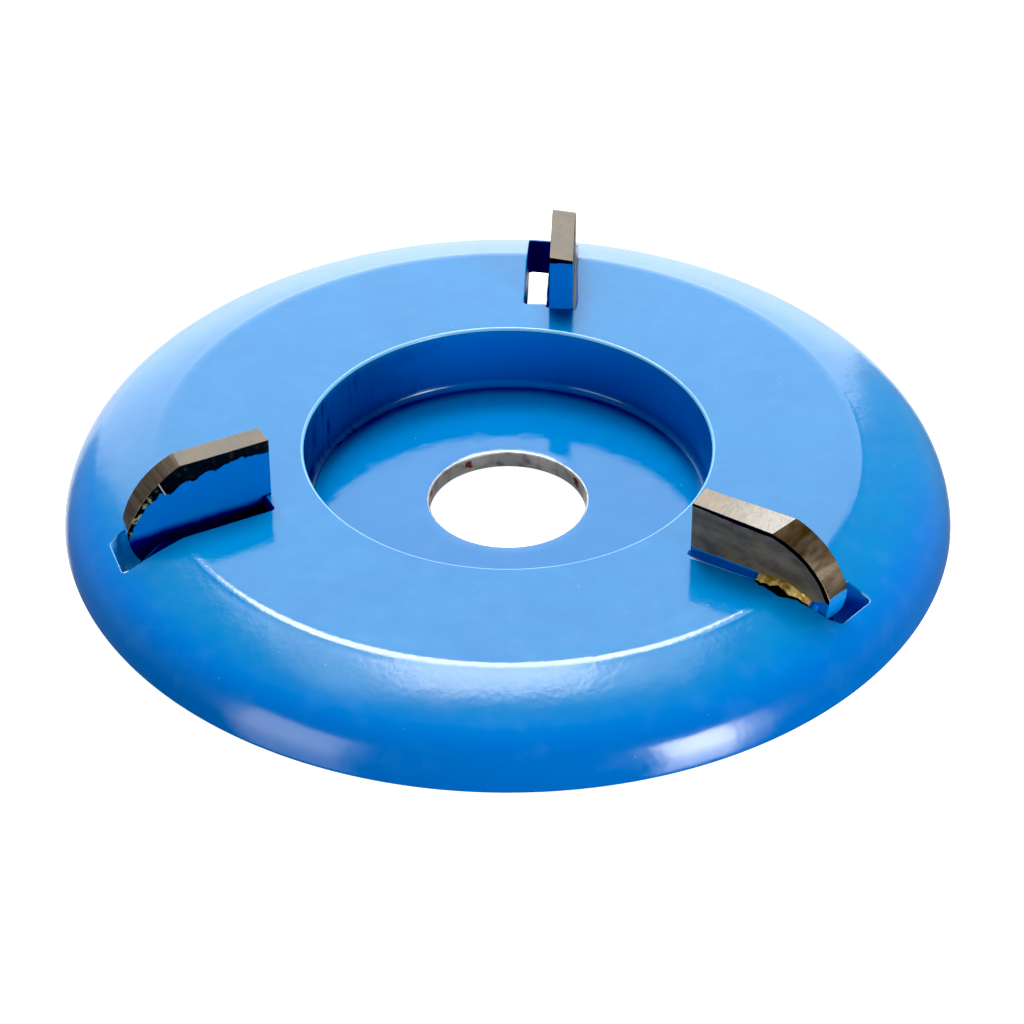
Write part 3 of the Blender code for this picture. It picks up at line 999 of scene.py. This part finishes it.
def leading_material(index):
    """The leading face: enamel that is painted dark at its foot as shade and stops short of the ground edge.
    The strip of scale that it leaves bare is black, olive towards the tip, and has a scratch across it."""
    mat = Material(f"leading_face_{index + 1}")
    along, _, up = mat.axes()
    inward = edge_distance(mat, LEADING_EDGES[index])
    wander = mat.noise((0.75, 0.0, 0.75), 3.0)
    swell = mat.times(mat.step(along, 28.0, 33.5), mat.step(along, 37.0, 34.5))
    width = mat.line(swell, 0.75, mat.mix(mat.step(along, 34.5, 39.6), 1.25, 0.5))
    width = mat.plus(width, mat.line(wander, 1.5, -0.75))
    past = mat.minus(inward, width)
    bare = mat.step(past, 0.10, 0.0)
    mottle = mat.noise(1.9, 4.0)
    scale_colour = mat.tint(mat.step(mottle, 0.55, 0.8), SCALE_BLACK, SCALE_BROWN)
    near_tip = mat.times(mat.step(along, 36.2, 37.2), mat.step(mottle, 0.50, 0.66))
    scale_colour = mat.tint(near_tip, scale_colour, SCALE_OLIVE)
    slant = mat.line(up, -SCRATCH_SLANT, along)
    scratch = mat.apart(slant, SCRATCH_START)
    scale_colour = mat.tint(mat.step(scratch, 0.10, 0.04), scale_colour, SCRATCH_GREY)
    colour = mat.tint(mat.patches(0.3, 3.0, 0.3, 0.7), FACE_BLUE, TOP_BLUE, 0.25)
    # Painted shade: the face darkens below the disc's top, down in the gullet.
    depth = mat.line(wander, 0.6, up)
    colour = mat.tint(mat.step(depth, 9.25, 8.1), colour, FACE_NAVY)
    lip = mat.step(past, 0.0, 0.35)
    return mat.finish(
        colour=mat.tint(bare, colour, scale_colour),
        specular=0.20,
        roughness=mat.mix(bare, 0.22, mat.mix(mottle, 0.45, 0.7)),
        normal=mat.bump(lip, 0.012 * MM, mat.bump(mottle, 0.006 * MM)),
    )


def trailing_material(index):
    """The trailing face: dark satin steel, with a black line under the edge that is painted shade of its
    bevel, tan by the braze, and painted where it meets the disc and at the foot of its nose."""
    mat = Material(f"trailing_face_{index + 1}")
    along, _, up = mat.axes()
    inward = edge_distance(mat, TRAILING_EDGES[index])
    cloud = mat.noise((0.35, 0.35, 0.7), 5.0)
    grain = mat.noise((3.0, 1.0, 3.0), 4.0)
    steel = mat.tint(mat.step(cloud, 0.3, 0.7), TRAILING_DARK, TRAILING_LIGHT)
    steel = mat.tint(grain, steel, TRAILING_GRAIN, 0.5)
    olive = mat.patches(0.5, 4.0, 0.55, 0.7)
    steel = mat.tint(olive, steel, TRAILING_OLIVE, 0.4)
    # Painted shade: a black line under the ground edge stands for the dark its small bevel shows.
    start = mat.step(along, 24.6, 29.5)
    line_width = mat.line(mat.noise(0.8), 0.25, mat.mix(start, 0.05, 0.25))
    line = mat.step(mat.minus(inward, line_width), 0.16, 0.0)
    steel = mat.tint(line, steel, EDGE_BLACK)
    wander = mat.times(mat.noise(0.9, 3.0), 0.5)
    paint_level = mat.mix(mat.step(along, 31.0, 40.0), FOOT_PAINT_LEVEL, NOSE_PAINT_LEVEL)
    above = mat.minus(up, mat.plus(paint_level, wander))
    tan = mat.times(mat.step(above, 1.0, 0.1), mat.step(cloud, 0.35, 0.6))
    steel = mat.tint(tan, steel, BRAZE_TAN, 0.6)
    bare_start = BARE_STARTS[index]
    brazed = mat.step(mat.plus(along, wander), bare_start + 0.1, bare_start + 0.4)
    filler = mat.times(brazed, mat.step(above, 0.12, 0.0))
    steel = mat.tint(filler, steel, FILLER_TAN)
    painted = mat.times(mat.step(above, 0.08, -0.02), mat.minus(1.0, brazed))
    nose_level = mat.minus(above, mat.mix(mat.step(along, 36.8, 39.2), -0.3, 0.45))
    nose_paint = mat.times(mat.step(along, 37.2, 37.7), mat.step(nose_level, 0.05, -0.05))
    painted = mat.most(painted, nose_paint)
    return mat.finish(
        colour=mat.tint(painted, steel, FACE_BLUE),
        metallic=mat.mix(painted, 0.25, 0.0),
        specular=0.3,
        roughness=mat.mix(painted, mat.mix(cloud, 0.42, 0.56), 0.22),
        normal=mat.bump(grain, 0.004 * MM, mat.bump(painted, 0.012 * MM)),
    )


def braze_material(index):
    """Filler under paint, painted dark by the plate as shade. The right bead is bare brass over part of its
    length, with burnt flux at its edge, and the others turn grey by the plate."""
    mat = Material(f"braze_{index + 1}")
    along, _, _ = mat.axes()
    across = mat.add("Attribute", {}, attribute_name="across").outputs["Fac"]
    lumps = mat.noise(1.8, 4.0)
    flow = mat.noise(0.9, 2.0)
    brass = mat.tint(mat.step(flow, 0.3, 0.7), BRASS_DARK, BRASS_LIGHT)
    fiery = mat.times(mat.step(along, 36.6, 37.6), mat.step(lumps, 0.45, 0.6))
    brass = mat.tint(fiery, brass, BRASS_FIERY, 0.7)
    lump = mat.step(mat.apart(along, FLUX_LUMP), 1.1, 0.3)
    burnt_from = mat.mix(lump, 0.62, 0.36)
    burnt_edge = mat.line(lumps, 0.35, mat.plus(across, -0.17))
    burnt = mat.step(mat.minus(burnt_edge, burnt_from), -0.04, 0.06)
    brass = mat.tint(burnt, brass, EDGE_BLACK)
    colour = mat.tint(mat.patches(0.3, 3.0, 0.3, 0.7), RIM_BLUE, TOP_BLUE, 0.3)
    # Painted shade: the paint on the bead darkens towards the plate.
    colour = mat.tint(mat.step(across, 0.80, 0.45), colour, BEAD_SHADE_NAVY)
    if BARE_STARTS[index] > BEAD_OUTER_END / MM:
        grey_by_plate = mat.step(mat.line(lumps, 0.3, across), 0.62, 0.42)
        colour = mat.tint(grey_by_plate, colour, BEAD_GREY_BY_PLATE)
    edge = mat.line(lumps, 0.8, along)
    bare = mat.step(edge, BARE_STARTS[index] + 0.35, BARE_STARTS[index] + 0.45)
    painted_again = mat.step(edge, BARE_END + 0.1, BARE_END + 0.4)
    bare = mat.times(bare, mat.minus(1.0, painted_again))
    end_paint = mat.tint(mat.step(edge, BARE_END + 0.2, BARE_END + 0.9), FACE_NAVY, FACE_BLUE)
    colour = mat.tint(painted_again, colour, end_paint)
    clean = mat.times(bare, mat.minus(1.0, burnt))
    relief = mat.mix(bare, 0.004 * MM, 0.022 * MM)
    return mat.finish(
        colour=mat.tint(bare, colour, brass),
        metallic=mat.times(clean, 0.7),
        specular=0.3,
        roughness=mat.mix(bare, 0.22, mat.mix(burnt, mat.mix(lumps, 0.30, 0.45), 0.92)),
        normal=mat.bump(lumps, relief, mat.bump(bare, -0.02 * MM)),
    )


def seam_material():
    """Filler at the foot of the leading faces, coloured near-black navy as painted shade of the gap there."""
    mat = Material("painted_seam")
    run = mat.noise(0.8, 3.0)
    # Painted shade: the seam is near-black navy, as the gap at the face's foot is shaded.
    colour = mat.tint(run, FACE_NAVY, SEAM_SHADE_NAVY)
    return mat.finish(colour=colour, roughness=mat.mix(run, 0.22, 0.4),
                      specular=ENAMEL_SPECULAR, normal=mat.bump(run, 0.03 * MM))


# ---- Studio

LIGHT_DISTANCE = 0.9
BLACK_POINT = 0.02
FLOOR_SIZE = 8.0
FLOOR_GREY = (0.55, 0.55, 0.55)
FLOOR_SHEEN = (0.4, 0.4, 0.4)
FLOOR_GLOW = (0.22, 0.22, 0.22)
WHITE = (1.0, 1.0, 1.0)
WORLD_FILL = 0.45
WORLD_MIRRORED = 0.6


def aim(item, target):
    direction = Vector(target) - item.location
    item.rotation_euler = direction.to_track_quat("-Z", "Y").to_euler()


def soft_box(name, azimuth, elevation, wide, high, radiance, mirrored=True):
    """A rectangular light that spans the given angles, in degrees, as the disc's centre sees it. One
    that isn't mirrored lights the disc, but doesn't show in its gloss."""
    light = bpy.data.lights.new(name, "AREA")
    light.shape = "RECTANGLE"
    light.size = 2.0 * LIGHT_DISTANCE * math.tan(math.radians(wide) / 2.0)
    light.size_y = 2.0 * LIGHT_DISTANCE * math.tan(math.radians(high) / 2.0)
    light.energy = radiance * math.pi * light.size * light.size_y
    item = add_object(name, light)
    around, up = math.radians(azimuth), math.radians(elevation)
    item.location = LIGHT_DISTANCE * Vector(
        (math.cos(up) * math.cos(around), math.cos(up) * math.sin(around), math.sin(up)))
    item.visible_camera = False
    item.visible_glossy = mirrored
    aim(item, (0.0, 0.0, 0.0))


def build_floor():
    """A plain white floor. Seen directly it is as bright as a lit table; what it throws back at
    the disc is weaker, so that the painted rim stays saturated."""
    half = FLOOR_SIZE / 2.0
    mesh = bpy.data.meshes.new("studio_floor")
    corners = [(-half, -half, 0.0), (half, -half, 0.0), (half, half, 0.0), (-half, half, 0.0)]
    mesh.from_pydata(corners, [], [(0, 1, 2, 3)])
    floor = add_object("studio_floor", mesh)
    mat = Material("pale_floor")
    mat.finish(colour=FLOOR_GREY, roughness=0.6, glow_colour=WHITE, glow=0.9)
    bounce = mat.add("BsdfPrincipled", {"Base Color": FLOOR_SHEEN, "Metallic": 1.0, "Roughness": 0.15,
                                        "Emission Color": FLOOR_GLOW})
    path = mat.add("LightPath", {})
    mat.tree.links.new(path.outputs["Is Diffuse Ray"], bounce.inputs["Emission Strength"])
    both = mat.add("MixShader", {0: path.outputs["Is Camera Ray"], 1: bounce.outputs[0],
                                 2: mat.shader.outputs[0]})
    mat.tree.links.new(both.outputs[0], mat.tree.nodes["Material Output"].inputs["Surface"])
    mesh.materials.append(mat.data)


def build_studio():
    build_floor()
    soft_box("right_front_strip", -44.0, 4.0, 17.0, 42.0, 26.0)
    soft_box("right_front_spill", -31.0, 4.0, 8.0, 42.0, 5.0)
    soft_box("left_front_strip", -138.0, 3.0, 26.0, 53.0, 6.0)
    soft_box("key_upper", 97.0, 70.0, 18.0, 18.0, 11.0)
    soft_box("key_lower", 97.0, 54.0, 26.0, 14.0, 21.0)
    soft_box("key_body", 97.0, 52.0, 26.0, 16.0, 15.0, mirrored=False)
    soft_box("overhead_panel", 98.0, 62.0, 40.0, 36.0, 3.6)
    soft_box("back_wall", 98.0, 19.0, 56.0, 48.0, 2.6)
    world = bpy.data.worlds.new("studio")
    world.use_nodes = True
    nodes, links = world.node_tree.nodes, world.node_tree.links
    background = nodes["Background"]
    background.inputs["Color"].default_value = (*WHITE, 1.0)
    path = nodes.new("ShaderNodeLightPath")
    level = nodes.new("ShaderNodeMix")
    level.inputs[2].default_value = WORLD_FILL
    level.inputs[3].default_value = WORLD_MIRRORED
    links.new(path.outputs["Is Glossy Ray"], level.inputs[0])
    links.new(level.outputs[0], background.inputs["Strength"])
    bpy.context.scene.world = world


def build_camera():
    data = bpy.data.cameras.new("camera")
    data.lens = CAMERA_LENS
    data.sensor_width = SENSOR_WIDTH
    data.clip_start = 0.01
    camera = add_object("camera", data)
    turn = Matrix.Rotation(CAMERA_TURN, 3, "Z")
    across = CAMERA_DISTANCE * math.cos(CAMERA_ELEVATION)
    above = CAMERA_DISTANCE * math.sin(CAMERA_ELEVATION)
    camera.location = turn @ Vector((0.0, -across, above))
    aim(camera, turn @ Vector(CAMERA_AIM))
    bpy.context.scene.camera = camera


def set_tones():
    """Plain colours with a slightly raised black point, which keeps the enamel saturated."""
    view = bpy.context.scene.view_settings
    view.view_transform = "Standard"
    view.use_curve_mapping = True
    view.curve_mapping.black_level = (BLACK_POINT, BLACK_POINT, BLACK_POINT)
    view.curve_mapping.update()


def main():
    build_camera()
    build_studio()
    build_disc([enamel_material(), edge_enamel_material(), bare_steel_material(), slot_wall_material(),
                recess_wall_material()])
    build_plates([(flank_material(index), leading_material(index), trailing_material(index))
                  for index in range(STATION_COUNT)])
    build_beads([braze_material(index) for index in range(STATION_COUNT)])
    build_seams(seam_material())
    set_tones()


main()
